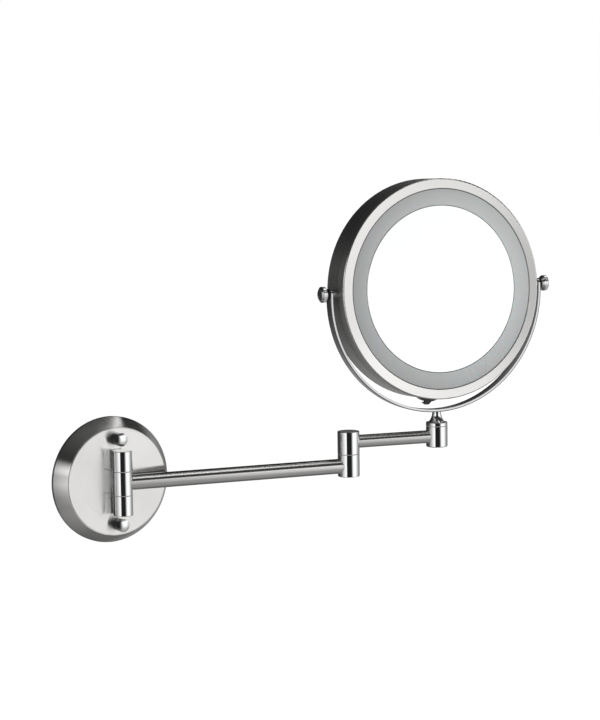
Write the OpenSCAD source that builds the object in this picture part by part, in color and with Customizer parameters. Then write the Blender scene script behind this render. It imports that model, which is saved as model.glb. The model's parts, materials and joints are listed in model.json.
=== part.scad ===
// Wall mirror on a folding two-part arm, with a lit, battery-powered, double-sided round head.
// Millimetres. Origin on the wall at the middle of the wall cover: X right, Y into the wall, Z up.

/* [Wall cover] */
// Outer diameter of the dished cover
plate_d = 100.5; // [90:0.5:140]
// Height of the straight lip at the wall
plate_lip = 2.9; // [2:0.1:5]
// Distance from the wall to the flat front of the cover
plate_h = 14.6; // [13:0.1:20]
// Width of the sloping bevel around the flat front
plate_bevel = 7.9; // [6:0.1:10]
// Sheet thickness of the cover
plate_wall = 1.2; // [0.8:0.1:2]
// Step between the bevel and the flat front
plate_step = 0.5; // [0.2:0.1:1]
// Diameter of the two cap nuts
nut_d = 10.5; // [9:0.5:13]
// Height of a cap nut above the cover
nut_h = 10; // [8:0.5:14]
// Distance from a cap nut to the edge of the flat front
nut_margin = 3.1; // [2:0.1:6]
// Distance from a cap nut to the end of the hinge
nut_gap = 3.1; // [1:0.1:5]

/* [Wall bracket] */
// Width of the steel bar behind the cover
bracket_w = 22; // [16:1:28]
// Thickness of the steel bar
bracket_t = 2; // [1.5:0.1:3]
// Distance from a stud to the nearest wall screw hole
screw_offset = 14; // [10:0.5:20]
// Diameter of the wall screw holes
screw_hole_d = 5; // [4:0.5:6]
// Diameter of the studs that carry the cap nuts
stud_d = 4; // [3:0.5:5]

/* [Hinges] */
// Diameter of the wall hinge
hinge_d = 15.9; // [13:0.1:20]
// Gap between the wall hinge and the cover
hinge_gap = 1.3; // [0.8:0.1:4]
// Height of the middle knuckle of the wall hinge
mid_knuckle_h = 18.6; // [16:0.1:22]
// Diameter of the elbow
elbow_d = 18; // [15:0.5:24]
// Height of each half of the elbow
elbow_h = 18.3; // [17:0.1:24]
// Diameter of the wrist
wrist_d = 17.8; // [15:0.1:22]
// Height of the wrist socket
wrist_h = 17.2; // [16:0.1:22]
// Diameter of the hinge bolts
bolt_d = 6; // [4:0.5:7]
// Diameter of the bolt heads
bolt_head_d = 10.4; // [9:0.2:12]
// Height of the bolt heads
bolt_head_h = 3; // [2:0.5:3.5]

/* [Arms] */
// Length of the long arm between its hinge axes
long_arm = 192; // [140:1:260]
// Diameter of the long arm's tube
long_tube_d = 12.2; // [10:0.1:14]
// Length of the short arm between its hinge axes
short_arm = 77.9; // [60:0.1:140]
// Diameter of the short arm's tube
short_tube_d = 10.7; // [9:0.1:13]
// Wall thickness of both tubes
tube_wall = 1; // [0.8:0.1:1.5]

/* [Yoke] */
// Width of the yoke's strap
yoke_w = 8; // [6:0.5:12]
// Thickness of the yoke's strap
yoke_t = 2.4; // [1.6:0.1:4]
// Gap between the head and the strap at the pivots
yoke_gap = 5.2; // [3.5:0.1:10]
// How far the strap's arc is centred below the tilt axis
yoke_drop = 3.6; // [1:0.1:10]
// Height of the swivel's flange
flange_h = 3; // [2:0.1:5]
// Height of the concave neck above the flange
neck_h = 8.4; // [6:0.1:14]
// Diameter of the neck at the strap
neck_d = 7.2; // [6:0.1:8]
// How far the neck flares out at the flange
neck_flare = 3.1; // [1:0.1:4]
// Diameter of the thumb screws
knob_d = 13; // [10:0.5:18]

/* [Mirror head] */
// Diameter of the head
head_d = 180.2; // [140:0.2:230]
// From the tilt axis to the front edge of the bezel
head_front = 11.2; // [11:0.1:16]
// From the tilt axis to the back edge of the head
head_back = 18.8; // [18.6:0.1:26]
// Wall thickness of the head's metal shells
shell_wall = 0.8; // [0.6:0.1:1.2]
// Rounding of the bezel's outer edge
bezel_round = 1.3; // [0.6:0.1:2]
// Width of the bezel's face
bezel_w = 6.9; // [5:0.1:12]
// Rise of the bezel's face towards its inner edge
bezel_rise = 1; // [0.2:0.1:1.2]
// Width of the frosted light ring
light_w = 13.6; // [12:0.1:20]
// Fall of the light ring towards the mirror
light_fall = 1.6; // [0.4:0.1:2]
// Thickness of the front mirror
mirror_t = 3; // [2:0.1:3]
// Visible width of the rear bezel
rear_bezel_w = 7; // [5:0.1:12]
// Focal length of the magnifying mirror
focal_length = 620; // [550:10:2000]
// Number of light-emitting diodes
led_count = 24; // [12:2:36]
// Length of the switch's surround
switch_l = 18.4; // [14:0.2:24]
// Distance of the switch from the middle of the underside, negative to the left
switch_x = -3.3; // [-8:0.1:8]
// Travel of the switch
switch_travel = 5; // [3:0.5:6]

/* [Resting pose] */
// Angle of the long arm out from the wall
arm_rest = 9.26; // [0:0.01:40]
// Angle of the short arm out from the wall
short_rest = 11.18; // [0:0.01:40]
// Angle of the yoke out from the wall
yoke_rest = 5.57; // [0:0.01:40]
// Upward tilt of the head
head_rest = 2.32; // [0:0.01:30]

/* [Hidden] */
$fn = 180;

// Clearances: between fitted round parts, between faces that turn on each other, and along glued joints
fit = 0.05;
slip = 0.1;
seat = 0.02;
// Thickness of the plastic washers in the hinges, and the gap that each fills
washer_t = 0.3;
washer_gap = washer_t + slip;
// Rounding of the turned pieces' free ends, and of their ends at a washer
edge = 0.5;
joint_edge = 0.15;

// Wall cover and hinge
plate_r = plate_d / 2;
face_r = plate_r - plate_bevel;
nut_z = face_r - nut_margin - nut_d / 2;
screw_z = nut_z - screw_offset;
stud_head_d = stud_d + 2.4;
stud_head_t = 0.8;
stud_len = plate_h + nut_h - 3.5;
nut_dome = nut_d * 1.15;
hinge_r = hinge_d / 2;
hinge_axis = plate_h + hinge_gap + hinge_r;
hinge_half = nut_z - nut_d / 2 - nut_gap;
knuckle_z0 = mid_knuckle_h / 2 + washer_gap;
knuckle_z = (knuckle_z0 + hinge_half) / 2;
stem_d = 7;
m4 = 4;
m4_head_d = 7.6;
m4_head_h = 2.2;
bore_r = bolt_d / 2 + fit;
head_recess_r = bolt_head_d / 2 + 0.2;
head_recess = bolt_head_h + 0.4;
bolt_end = 3;
knuckle_screw_l = hinge_gap + hinge_r - head_recess_r - 0.5;

// Arms: the elbow's lower half is level with the long arm, its upper half with the short arm
elbow_r = elbow_d / 2;
elbow_z0 = 0.5 - elbow_h / 2;
elbow_z1 = elbow_z0 + elbow_h;
elbow_z2 = elbow_z1 + washer_gap;
elbow_z3 = elbow_z2 + elbow_h;
short_z = elbow_z2 + elbow_h / 2 + 0.2;
wrist_r = wrist_d / 2;
wrist_z0 = short_z - wrist_h / 2;
wrist_z1 = wrist_z0 + wrist_h;
wrist_z2 = wrist_z1 + washer_gap;
spigot_l = 14;
elbow_x = long_arm * cos(arm_rest);
elbow_y = -hinge_axis - long_arm * sin(arm_rest);
wrist_x = elbow_x + short_arm * cos(short_rest);
wrist_y = elbow_y - short_arm * sin(short_rest);

// Yoke and pivots, measured outwards from the middle of the head
head_r = head_d / 2;
strap_in = head_r + yoke_gap;
strap_out = strap_in + yoke_t;
strap_z = wrist_z2 + flange_h + neck_h;
tilt_z = strap_z + strap_out + yoke_drop;
pivot_d = 4;
pivot_washer_t = 1;
spacer_d = 6.6;
knob_back = strap_out + pivot_washer_t + 0.2;
knob_taper = 2.4;
knob_rim = 2.8;
knob_crown = 2;
insert_len = 6;
insert_d = 9;
spindle_d = 7;
retainer_h = 2.6;
strap_screw_d = 3;

// Head, measured forwards from the tilt axis
seam = 1;
rear_seam = -14.8;
bezel_inner = head_r - bezel_round - bezel_w;
glass_r = bezel_inner - light_w;
bezel_lip = head_front + bezel_rise;
light_front = bezel_lip - 0.25;
glass_front = light_front - light_fall;
glass_back = glass_front - mirror_t;
pad_t = 0.8;
table = glass_back - pad_t;
table_t = 1.4;
inner_r = head_r - shell_wall;
spigot_r = inner_r - 0.15;
spigot_wall = 1.6;
frame_in = spigot_r - spigot_wall;
partition = 0.4;
partition_t = 1.2;
channel = partition + 0.4;
channel_t = 1;
channel_in = glass_r + 0.6;
channel_out = bezel_inner + 3;
board_t = 1.2;
board_front = channel + channel_t + board_t;
led = [3.5, 2.8, 1.1];
led_r = (channel_in + channel_out) / 2;
light_t = 1.8;

// Back of the head
rear_inner = head_r - bezel_round - rear_bezel_w;
rear_face = -head_back;
rear_rise = 0.4;
rear_glass_r = rear_inner + 1.6;
rear_glass_edge = rear_face + shell_wall + rear_rise / 2;
// Deepest hollow of the magnifying mirror that leaves room for what is behind it
deepest = 2.81;
sphere_r = max(2 * focal_length, rear_glass_r * rear_glass_r / (2 * deepest));
rear_glass_sag = sphere_r - sqrt(sphere_r * sphere_r - rear_glass_r * rear_glass_r);
rear_glass_t = 1.4;
rear_glass_inside = rear_glass_edge + rear_glass_sag + rear_glass_t;
rear_plate = rear_glass_inside + 0.1;
rear_plate_t = 0.8;
lug_count = 3;
lug_angle = 16;
lug_t = 1.4;
ledge_z = rear_seam + 2.6;
ledge_t = 1.2;
ledge_in = frame_in - 3.4;

// Battery compartment
cell_d = 10.5;
cell_l = 44.5;
cell_pitch = 11.4;
cell_count = 3;
holder_floor = 0.8;
holder_wall = 1.2;
holder_top = partition - partition_t - 0.1;
cell_z = holder_top - holder_floor - cell_d / 2;
holder_w = cell_count * cell_pitch + 2 * holder_wall;
holder_l = cell_l + 12;
holder_h = 8.4;
spring_l = 4;
contact_t = 0.4;
boss_r = holder_l / 2 + 18;
wire_d = 1.2;
wire_x = holder_w / 2 + 8;
wire_z = channel + channel_t + 0.6;

// Switch in the bottom of the head
switch_z = -10.6;
switch_w = 3.8;
surround_t = 2.9;
surround_crown = 15.7;
stalk_w = 4;
stalk_t = 2;
lever_w = 8;
lever_tip = 3;
lever_t = 3.2;
lever_rise = 5.4;
lever_rest = switch_x - switch_travel / 2;
slot_l = switch_travel + stalk_w + 0.6;
surround_depth = 1.9;

// ---- Outlines with rounded corners ----
function unit(v) = v / norm(v);
function corner(p, i) = p[(i + len(p)) % len(p)];
function back_way(p, i) = unit(corner(p, i - 1) - corner(p, i));
function next_way(p, i) = unit(corner(p, i + 1) - corner(p, i));
function half_angle(p, i) = acos(back_way(p, i) * next_way(p, i)) / 2;
function round_at(p, i, r) =
    corner(p, i) + unit(back_way(p, i) + next_way(p, i)) * r / sin(half_angle(p, i));
function trim_at(p, i, r) = r == 0 ? [corner(p, i)] :
    let (d = r / tan(half_angle(p, i)))
    [corner(p, i) + back_way(p, i) * d, corner(p, i) + next_way(p, i) * d];

// An outline whose outward corners are rounded, each by its own radius
module softened(p, radii) {
    polygon([for (i = [0:len(p) - 1]) each trim_at(p, i, radii[i])]);
    for (i = [0:len(p) - 1])
        if (radii[i] > 0) translate(round_at(p, i, radii[i])) circle(radii[i]);
}

// A turned solid from z0 to z1, with its lower and upper rims rounded
module turned(r, z0, z1, low = edge, high = edge) {
    rotate_extrude() softened([[0, z0], [r, z0], [r, z1], [0, z1]], [0, low, high, 0]);
}

module ring(r_in, r_out, z0, z1) {
    rotate_extrude() translate([r_in, z0]) square([r_out - r_in, z1 - z0]);
}

module hole(r, z0, z1) {
    translate([0, 0, z0]) cylinder(r = r, h = z1 - z0);
}

// A round wire swept through a list of points; side is a direction that it never runs along
module swept(route, r, side = [0, 0, 1], sides = 6) {
    last = len(route) - 1;
    rings = [for (i = [0:last])
        let (way = unit(route[min(i + 1, last)] - route[max(i - 1, 0)]),
             u = unit(cross(way, side)),
             v = cross(way, u))
        for (k = [0:sides - 1]) route[i] + r * (cos(k * 360 / sides) * u + sin(k * 360 / sides) * v)];
    walls = [for (i = [0:last - 1], k = [0:sides - 1])
        let (next = (k + 1) % sides)
        [(i + 1) * sides + k, (i + 1) * sides + next, i * sides + next, i * sides + k]];
    start_cap = [for (k = [0:sides - 1]) k];
    end_cap = [for (k = [sides - 1:-1:0]) last * sides + k];
    polyhedron(rings, concat([start_cap], walls, [end_cap]));
}

// ---- Places ----
// Faces away from the wall: local Z points into the room, local Y points up
module facing_room() { rotate([90, 0, 0]) children(); }
module at_hinge() { translate([0, -hinge_axis, 0]) children(); }
module on_long_arm() { at_hinge() rotate([0, 0, -arm_rest]) children(); }
module on_elbow() { translate([elbow_x, elbow_y, 0]) rotate([0, 0, -short_rest]) children(); }
module on_wrist() { translate([wrist_x, wrist_y, 0]) rotate([0, 0, -yoke_rest]) children(); }
// At the middle of the yoke, X along the tilt axis
module on_yoke() { on_wrist() translate([0, 0, tilt_z]) children(); }
// In the head: X along the tilt axis, Y up, Z out of the front mirror
module on_head() { on_yoke() rotate([90 - head_rest, 0, 0]) children(); }
// Local Z points outwards along the tilt axis, on the left (-1) or the right (1)
module at_pivot(side) { rotate([0, side * 90, 0]) children(); }

// ---- Wall bracket and cover ----
module wall_bracket() {
    color("silver") facing_room() difference() {
        union() {
            translate([-bracket_w / 2, -nut_z, 0]) cube([bracket_w, 2 * nut_z, bracket_t]);
            for (s = [-1, 1]) translate([0, s * nut_z, 0]) cylinder(d = bracket_w, h = bracket_t);
        }
        for (s = [-1, 1]) {
            translate([0, s * nut_z, -1]) cylinder(r = stud_d / 2 + seat, h = bracket_t + 2);
            translate([0, s * nut_z, -1]) cylinder(r = stud_head_d / 2 + seat, h = stud_head_t + 1);
            translate([0, s * screw_z, -1]) cylinder(d = screw_hole_d, h = bracket_t + 2);
        }
    }
}

module bracket_studs() {
    color("silver") facing_room() for (s = [-1, 1]) translate([0, s * nut_z, 0]) {
        cylinder(d = stud_head_d, h = stud_head_t - seat);
        cylinder(d = stud_d, h = stud_len);
    }
}

module wall_cover() {
    slope_r = face_r + plate_step;
    inner_lip = plate_r - plate_wall;
    inner_face = plate_h - plate_wall;
    color("gainsboro") facing_room() difference() {
        rotate_extrude() softened([
            [plate_r, 0], [plate_r, plate_lip], [slope_r, plate_h - plate_step],
            [face_r, plate_h - plate_step], [face_r, plate_h], [0, plate_h], [0, inner_face],
            [face_r - plate_wall / 2, inner_face], [inner_lip, plate_lip - plate_wall / 2],
            [inner_lip, 0]
        ], [0.3, 1.5, 0, 0, 0.25, 0, 0, 0, 0, 0]);
        for (s = [-1, 1]) {
            translate([0, s * nut_z, 0]) cylinder(r = stud_d / 2 + 0.3, h = plate_h + 1);
            translate([0, s * knuckle_z, 0]) cylinder(r = m4 / 2 + 0.2, h = plate_h + 1);
        }
    }
}

module cap_nuts() {
    color("silver") facing_room() for (s = [-1, 1]) translate([0, s * nut_z, plate_h + seat])
        difference() {
            rotate_extrude() intersection() {
                translate([0, nut_h - nut_dome]) circle(nut_dome);
                square([nut_d / 2, nut_h]);
            }
            hole(stud_d / 2 + fit, -1, nut_h - 3);
        }
}

// ---- Wall hinge ----
// An outer knuckle with the stem that stands on the cover
module outer_knuckle(z0, z1, low, high, side) {
    mid = side * knuckle_z;
    difference() {
        union() {
            at_hinge() turned(hinge_r, z0, z1, low, high);
            facing_room() translate([0, mid, plate_h + seat]) cylinder(d = stem_d, h = hinge_gap + 2);
        }
        facing_room() translate([0, mid, plate_h]) cylinder(r = m4 / 2 + fit, h = knuckle_screw_l + 0.4);
        at_hinge() children();
    }
}

module hinge_knuckle_top() {
    color("silver") outer_knuckle(knuckle_z0, hinge_half, joint_edge, edge, 1)
        hole(bore_r, knuckle_z0 - 1, hinge_half - bolt_end + 0.5);
}

module hinge_knuckle_bottom() {
    color("silver") outer_knuckle(-hinge_half, -knuckle_z0, edge, joint_edge, -1) {
        union() {
            hole(bore_r, -hinge_half - 1, -knuckle_z0 + 1);
            hole(head_recess_r, -hinge_half - 1, -hinge_half + head_recess);
        }
    }
}

module knuckle_screws() {
    head_z = plate_h - plate_wall - m4_head_h - seat;
    color("dimgray") facing_room() for (s = [-1, 1]) translate([0, s * knuckle_z, 0]) difference() {
        union() {
            translate([0, 0, head_z])
                rotate_extrude() softened([
                    [0, 0], [m4_head_d / 2, 0], [m4_head_d / 2, m4_head_h], [0, m4_head_h]
                ], [0, 0.8, 0, 0]);
            translate([0, 0, head_z]) cylinder(d = m4, h = plate_h + knuckle_screw_l - head_z);
        }
        translate([0, 0, head_z - 1]) cylinder(d = 2.9, h = 2.3, $fn = 6);
    }
}

// A hinge bolt standing on its head, with a hexagon socket and a plain shank
module hinge_bolt(z0, z1) {
    difference() {
        union() {
            turned(bolt_head_d / 2, z0, z0 + bolt_head_h, 0.4, 0.4);
            hole(bolt_d / 2, z0 + bolt_head_h / 2, z1);
        }
        translate([0, 0, z0 - 1]) cylinder(d = 4.6, h = bolt_head_h, $fn = 6);
    }
}

module wall_hinge_bolt() {
    color("dimgray") at_hinge()
        hinge_bolt(-hinge_half + head_recess - bolt_head_h - seat, hinge_half - bolt_end);
}

module wall_hinge_washers() {
    color("black") at_hinge() for (s = [-1, 1]) {
        z = s * (knuckle_z0 - washer_t / 2 - seat);
        ring(bolt_d / 2 + 0.15, hinge_r - joint_edge, z - washer_t / 2, z + washer_t / 2);
    }
}

// ---- Arms ----
// A plug that a tube is brazed onto, running out from a knuckle along X
module spigot(tube_d, from, z) {
    translate([from, 0, z]) rotate([0, 90, 0]) cylinder(r = tube_d / 2 - tube_wall - seat, h = spigot_l);
}

// A tube whose ends are coped to fit around the knuckles
module coped_tube(d, length, r_start, r_end, z) {
    difference() {
        translate([0, 0, z]) rotate([0, 90, 0]) cylinder(d = d, h = length);
        translate([-1, 0, z]) rotate([0, 90, 0]) cylinder(r = d / 2 - tube_wall, h = length + 2);
        hole(r_start + seat, z - d, z + d);
        translate([length, 0, 0]) hole(r_end + seat, z - d, z + d);
    }
}

module arm_knuckle() {
    half = mid_knuckle_h / 2;
    color("silver") on_long_arm() difference() {
        union() {
            turned(hinge_r, -half, half, joint_edge, joint_edge);
            spigot(long_tube_d, hinge_r - 2, 0);
        }
        hole(bore_r, -half - 1, half + 1);
    }
}

module long_arm_tube() {
    color("silver") on_long_arm() coped_tube(long_tube_d, long_arm, hinge_r, elbow_r, 0);
}

module elbow_lower_knuckle() {
    color("silver") on_long_arm() translate([long_arm, 0, 0]) difference() {
        union() {
            turned(elbow_r, elbow_z0, elbow_z1, edge, joint_edge);
            rotate([0, 0, 180]) spigot(long_tube_d, elbow_r - 2, 0);
        }
        hole(bore_r, elbow_z0 - 1, elbow_z1 + 1);
        hole(head_recess_r, elbow_z0 - 1, elbow_z0 + head_recess);
    }
}

module elbow_bolt() {
    color("dimgray") on_elbow()
        hinge_bolt(elbow_z0 + head_recess - bolt_head_h - slip, elbow_z3 - bolt_end - 2);
}

module elbow_washer() {
    z = elbow_z1 + seat;
    color("black") on_long_arm() translate([long_arm, 0, 0])
        ring(bolt_d / 2 + 0.15, elbow_r - joint_edge, z, z + washer_t);
}

module elbow_upper_knuckle() {
    color("silver") on_elbow() difference() {
        union() {
            turned(elbow_r, elbow_z2, elbow_z3, joint_edge, edge);
            spigot(short_tube_d, elbow_r - 2, short_z);
        }
        hole(bore_r, elbow_z2 - 1, elbow_z3 - bolt_end - 1.6);
    }
}

module short_arm_tube() {
    color("silver") on_elbow() coped_tube(short_tube_d, short_arm, elbow_r, wrist_r, short_z);
}

module wrist_socket() {
    color("silver") on_elbow() translate([short_arm, 0, 0]) difference() {
        union() {
            turned(wrist_r, wrist_z0, wrist_z1, 0.9, joint_edge);
            rotate([0, 0, 180]) spigot(short_tube_d, wrist_r - 2, short_z);
        }
        hole(spindle_d / 2 + fit, wrist_z0 - 1, wrist_z1 + 1);
        hole(head_recess_r + 0.4, wrist_z0 - 1, wrist_z0 + retainer_h + 1);
    }
}

// ---- Wrist and yoke ----
module wrist_washer() {
    z = wrist_z1 + slip - seat;
    color("black") on_wrist() ring(spindle_d / 2 + 0.15, wrist_r - joint_edge, z, z + washer_t);
}

// Flange, concave neck and the spindle that turns in the wrist
module swivel_post() {
    flange_top = wrist_z2 + flange_h;
    neck_r = neck_d / 2;
    hollow_r = (neck_h * neck_h + neck_flare * neck_flare) / (2 * neck_flare);
    color("silver") on_wrist() difference() {
        union() {
            turned(wrist_r, wrist_z2, flange_top, joint_edge, 0.8);
            rotate_extrude() difference() {
                translate([0, flange_top - 1]) square([neck_r + neck_flare, neck_h + 1]);
                translate([neck_r + hollow_r, strap_z]) circle(hollow_r);
            }
            hole(spindle_d / 2, wrist_z0 + retainer_h + 0.8, wrist_z2 + 1);
        }
        hole(strap_screw_d / 2 + fit, strap_z - 7, strap_z + 1);
        hole(m4 / 2 + fit, wrist_z0, wrist_z0 + retainer_h + 9);
    }
}

// Cap screw and washer in one, below the wrist
module wrist_retainer() {
    z0 = wrist_z0 + 0.6;
    z1 = wrist_z0 + retainer_h + 0.8 - seat;
    color("dimgray") on_wrist() difference() {
        union() {
            turned(head_recess_r, z0, z1, 0.3, 0.3);
            hole(m4 / 2, z1 - 1, z1 + 7);
        }
        translate([0, 0, z0 - 1]) cylinder(d = 3.4, h = 2.4, $fn = 6);
    }
}

// Half of the strap's cross-section is rounded at each edge
module strap_section(x) {
    softened([
        [x, -yoke_w / 2], [x + yoke_t, -yoke_w / 2], [x + yoke_t, yoke_w / 2], [x, yoke_w / 2]
    ], [0.35, 0.35, 0.35, 0.35]);
}

module yoke_strap() {
    rim = yoke_w / 2;
    color("silver") on_yoke() difference() {
        union() {
            translate([0, 0, -yoke_drop]) intersection() {
                rotate([90, 0, 0]) rotate_extrude() strap_section(strap_in);
                translate([-head_d, -head_d, -2 * head_d]) cube([2 * head_d, 2 * head_d, 2 * head_d]);
            }
            for (s = [-1, 1]) {
                rotate([0, 0, s == 1 ? 0 : 180])
                    translate([0, 0, -yoke_drop]) linear_extrude(yoke_drop) strap_section(strap_in);
                at_pivot(s) rotate_extrude() softened([
                    [0, strap_in], [rim, strap_in], [rim, strap_out], [0, strap_out]
                ], [0, 0.35, 0.35, 0]);
            }
        }
        for (s = [-1, 1]) at_pivot(s) hole(pivot_d / 2 + fit, strap_in - 1, strap_out + 1);
        translate([0, 0, -tilt_z]) {
            hole(strap_screw_d / 2 + fit, strap_z - 1, strap_z + yoke_t + 1);
            translate([0, 0, strap_z + yoke_t - 1.2])
                cylinder(r1 = strap_screw_d / 2, r2 = strap_screw_d / 2 + 1.8, h = 1.8);
        }
    }
}

// Countersunk screw that holds the strap on the post, flush with the inside of the strap
module strap_screw() {
    top = strap_z + yoke_t - 0.15;
    color("dimgray") on_wrist() difference() {
        union() {
            translate([0, 0, top - 1]) cylinder(r1 = strap_screw_d / 2, r2 = strap_screw_d / 2 + 1, h = 1);
            hole(strap_screw_d / 2, strap_z - 6, top - 0.5);
        }
        translate([0, 0, top - 0.7]) cylinder(d = 2.2, h = 2, $fn = 6);
    }
}

module pivot_washers() {
    color("black") on_yoke() for (s = [-1, 1]) at_pivot(s)
        ring(pivot_d / 2 + 0.15, knob_d / 2 - 2, strap_out + seat, strap_out + pivot_washer_t);
}

// Each spacer's inner end is hollowed to the round side of the head
module pivot_spacers() {
    color("silver") on_head() difference() {
        for (s = [-1, 1]) at_pivot(s)
            ring(pivot_d / 2 + fit, spacer_d / 2, head_r - 1, strap_in - slip);
        hole(head_r + seat, -10, 10);
    }
}

// Threaded bosses just inside the head's side
module pivot_inserts() {
    color("goldenrod") on_head() difference() {
        for (s = [-1, 1]) at_pivot(s)
            ring(pivot_d / 2 + fit, insert_d / 2, frame_in - insert_len, head_r);
        ring(frame_in - seat, head_r + 2, -10, 10);
    }
}

// A thumb screw: shank, tapered back, knurled rim and a low crown, along the tilt axis
module thumb_screw() {
    rim_r = knob_d / 2;
    rim_z = knob_back + knob_taper;
    flutes = 28;
    difference() {
        union() {
            hole(pivot_d / 2, frame_in - insert_len + 0.5, knob_back + 1);
            rotate_extrude() softened([
                [0, knob_back], [rim_r - 2.5, knob_back], [rim_r, rim_z],
                [rim_r, rim_z + knob_rim], [rim_r - 2.2, rim_z + knob_rim + knob_crown * 0.7],
                [0, rim_z + knob_rim + knob_crown]
            ], [0, 0.3, 0.4, 0.4, 1.5, 0]);
        }
        for (i = [0:flutes - 1]) rotate([0, 0, i * 360 / flutes])
            translate([rim_r + 0.25, 0, rim_z + 0.3]) cylinder(r = 0.5, h = knob_rim - 0.6, $fn = 24);
    }
}

module thumb_screw_left() { color("silver") on_head() at_pivot(-1) thumb_screw(); }
module thumb_screw_right() { color("silver") on_head() at_pivot(1) thumb_screw(); }

// ---- Head: metal shells ----
module pivot_bores() {
    for (s = [-1, 1]) at_pivot(s) hole(pivot_d / 2 + 0.15, head_r - 12, head_r + 2);
}

// Opening for the switch in the bottom of the head
module switch_opening() {
    translate([switch_x - switch_l / 2 + 1, -head_r - 2, switch_z - switch_w / 2])
        cube([switch_l - 2, 8, switch_w]);
}

// A wedge around the head's axis, that takes a lug's width out of a ring
module wedge(angle, z0, z1) {
    far = head_r * 1.2;
    translate([0, 0, z0]) linear_extrude(z1 - z0) polygon([
        [0, 0], [far, -far * tan(angle / 2)], [far, far * tan(angle / 2)]
    ]);
}

module each_lug() {
    for (i = [0:lug_count - 1]) rotate([0, 0, 90 + i * 360 / lug_count]) children();
}

module each_boss() {
    for (i = [0:2]) rotate([0, 0, 30 + i * 120]) translate([boss_r, 0, 0]) children();
}

module each_wire() {
    for (s = [-1, 1]) translate([0, s * 1.6, 0]) children();
}

// Brushed metal band around the side of the head
module head_band() {
    color("dimgray") on_head() difference() {
        ring(inner_r, head_r, rear_seam, seam - 0.1);
        pivot_bores();
        switch_opening();
    }
}

// Plastic frame inside the band: wall, dividing disc, screw bosses and the ledges for the lugs
module head_frame() {
    color("gray") on_head() difference() {
        union() {
            ring(frame_in, spigot_r, rear_seam + 0.3, seam + 5);
            difference() {
                translate([0, 0, partition - partition_t]) cylinder(r = frame_in + 0.5, h = partition_t);
                pivot_clear(frame_in);
            }
            each_lug() intersection() {
                ring(ledge_in, frame_in + 0.5, ledge_z, ledge_z + ledge_t);
                wedge(lug_angle, ledge_z, ledge_z + ledge_t);
            }
            each_boss() hole(3, partition - partition_t, table - table_t - seat);
        }
        pivot_bores();
        switch_opening();
        each_boss() hole(1.25, partition + 1, table + 1);
        each_wire() translate([wire_x, 0, 0]) hole(1, partition - 3, partition + 1);
    }
}

// Section of a bezel: rounded outside, hollow inside, from its seam to its lip
module bezel_section(inner, z_seam, z_face, z_lip) {
    difference() {
        softened([[inner, z_seam], [head_r, z_seam], [head_r, z_face], [inner, z_lip]],
                 [0, 0, bezel_round, 0.25]);
        polygon([[inner - 1, z_seam - 1], [inner_r, z_seam - 1], [inner_r, z_face - shell_wall],
                 [inner, z_lip - shell_wall], [inner - 1, z_lip - shell_wall]]);
    }
}

module front_bezel() {
    color("gainsboro") on_head() difference() {
        rotate_extrude() bezel_section(bezel_inner, seam + 0.1, head_front + 0.2, bezel_lip);
        pivot_bores();
        rotate([0, 0, 172]) translate([0, 0, head_front / 2 + 0.4]) rotate([0, 90, 0])
            hole(0.6, head_r - 0.5, head_r + 1);
    }
}

// ---- Head: mirror and light ----
module light_ring() {
    r0 = glass_r + 0.15;
    r1 = bezel_inner - 0.1;
    lip = bezel_lip - shell_wall - 0.3;
    color("lightgray") on_head() rotate_extrude() polygon([
        [r0, glass_front], [r1, light_front], [r1, lip - 0.35], [channel_out - 0.6, lip - 0.75],
        [channel_out - 0.6, lip - light_t - 0.6], [r1, lip - light_t - 0.4],
        [r0, glass_front - light_t]
    ]);
}

module front_mirror() {
    color("white") on_head() rotate_extrude() polygon([
        [0, glass_back], [glass_r, glass_back], [glass_r, glass_front - 0.4],
        [glass_r - 0.4, glass_front], [0, glass_front]
    ]);
}

module mirror_pad() {
    color("white") on_head() hole(glass_r - 4, table + seat, glass_back - seat);
}

// White plastic tray: the raised middle holds the mirror, the channel around it holds the lights
module mirror_carrier() {
    r_mid = channel_in + channel_t;
    outer_top = bezel_lip - shell_wall - light_t - 1.2;
    color("white") on_head() difference() {
        union() {
            hole(r_mid, table - table_t, table);
            ring(channel_in, r_mid, channel, table);
            ring(channel_in, channel_out, channel, channel + channel_t);
            ring(channel_out - channel_t, channel_out, channel, outer_top);
        }
        each_boss() {
            hole(1.6, channel - 1, table + 1);
            hole(3.2, table - 0.9, table + 1);
        }
        each_wire() translate([channel_in - 1, 0, wire_z]) rotate([0, 90, 0]) hole(wire_d / 2 + 0.2, 0, 4);
        pivot_clear(head_r);
    }
}

// Room for the threaded bosses at both pivots
module pivot_clear(far) {
    for (s = [-1, 1]) at_pivot(s)
        hole(insert_d / 2 + 0.2, frame_in - insert_len - 0.3, far);
}

module carrier_screws() {
    color("dimgray") on_head() each_boss() {
        hole(2.9, table - 0.9 + seat, table - 0.1);
        hole(1.2, partition + 1.4, table - 0.5);
    }
}

module led_board() {
    color("seagreen") on_head() difference() {
        ring(channel_in + channel_t + 0.3, channel_out - channel_t - 0.3,
             channel + channel_t + seat, board_front);
        pivot_clear(head_r);
    }
}

module led_chips() {
    color("khaki") on_head() for (i = [0:led_count - 1])
        rotate([0, 0, (i + 0.5) * 360 / led_count])
            translate([led_r - led[0] / 2, -led[1] / 2, board_front + seat]) cube(led);
}

// ---- Head: batteries, wires and switch ----
module each_cell() {
    for (i = [0:cell_count - 1]) translate([(i - (cell_count - 1) / 2) * cell_pitch, 0, 0]) children();
}

module battery_holder() {
    color("dimgray") on_head() difference() {
        translate([-holder_w / 2, -holder_l / 2, holder_top - holder_h]) cube([holder_w, holder_l, holder_h]);
        translate([-holder_w / 2 + holder_wall, -holder_l / 2 + holder_wall, holder_top - holder_h - 1])
            cube([holder_w - 2 * holder_wall, holder_l - 2 * holder_wall, holder_h + 1 - holder_floor]);
    }
}

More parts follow.
